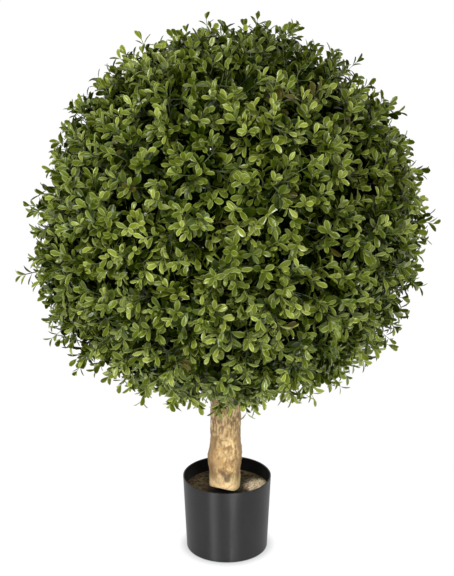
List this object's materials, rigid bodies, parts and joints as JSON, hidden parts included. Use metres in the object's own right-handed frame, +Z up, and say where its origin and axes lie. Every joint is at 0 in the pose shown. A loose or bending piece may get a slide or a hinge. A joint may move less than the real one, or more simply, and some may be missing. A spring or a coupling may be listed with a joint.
{
  "type": "artificial boxwood ball tree in a pot",
  "caption": "Artificial boxwood standard: a clipped ball of small green leaves on a bare knotty trunk, standing in a plain black pot filled to a gritty top.",
  "frame": {"origin": "centre of the pot's flat underside, on the floor", "axes": "+Z up along the trunk, -Y towards the picture's viewer, +X to the viewer's right"},
  "size_m": [0.785, 0.7455, 1.0656],
  "materials": {
    "pot_plastic": "matte black moulded plastic",
    "gritty_fill": "rough brown-grey cement and grit",
    "trunk_wood": "bare tan wood with knots and ridges",
    "foliage_lower": "satin green leaves",
    "foliage_upper": "satin green leaves"
  },
  "bodies": {
    "root": {"pot": "pot_plastic", "soil": "gritty_fill", "trunk": "trunk_wood", "crown_lower": "foliage_lower", "crown_upper": "foliage_upper"}
  },
  "joints": []
}
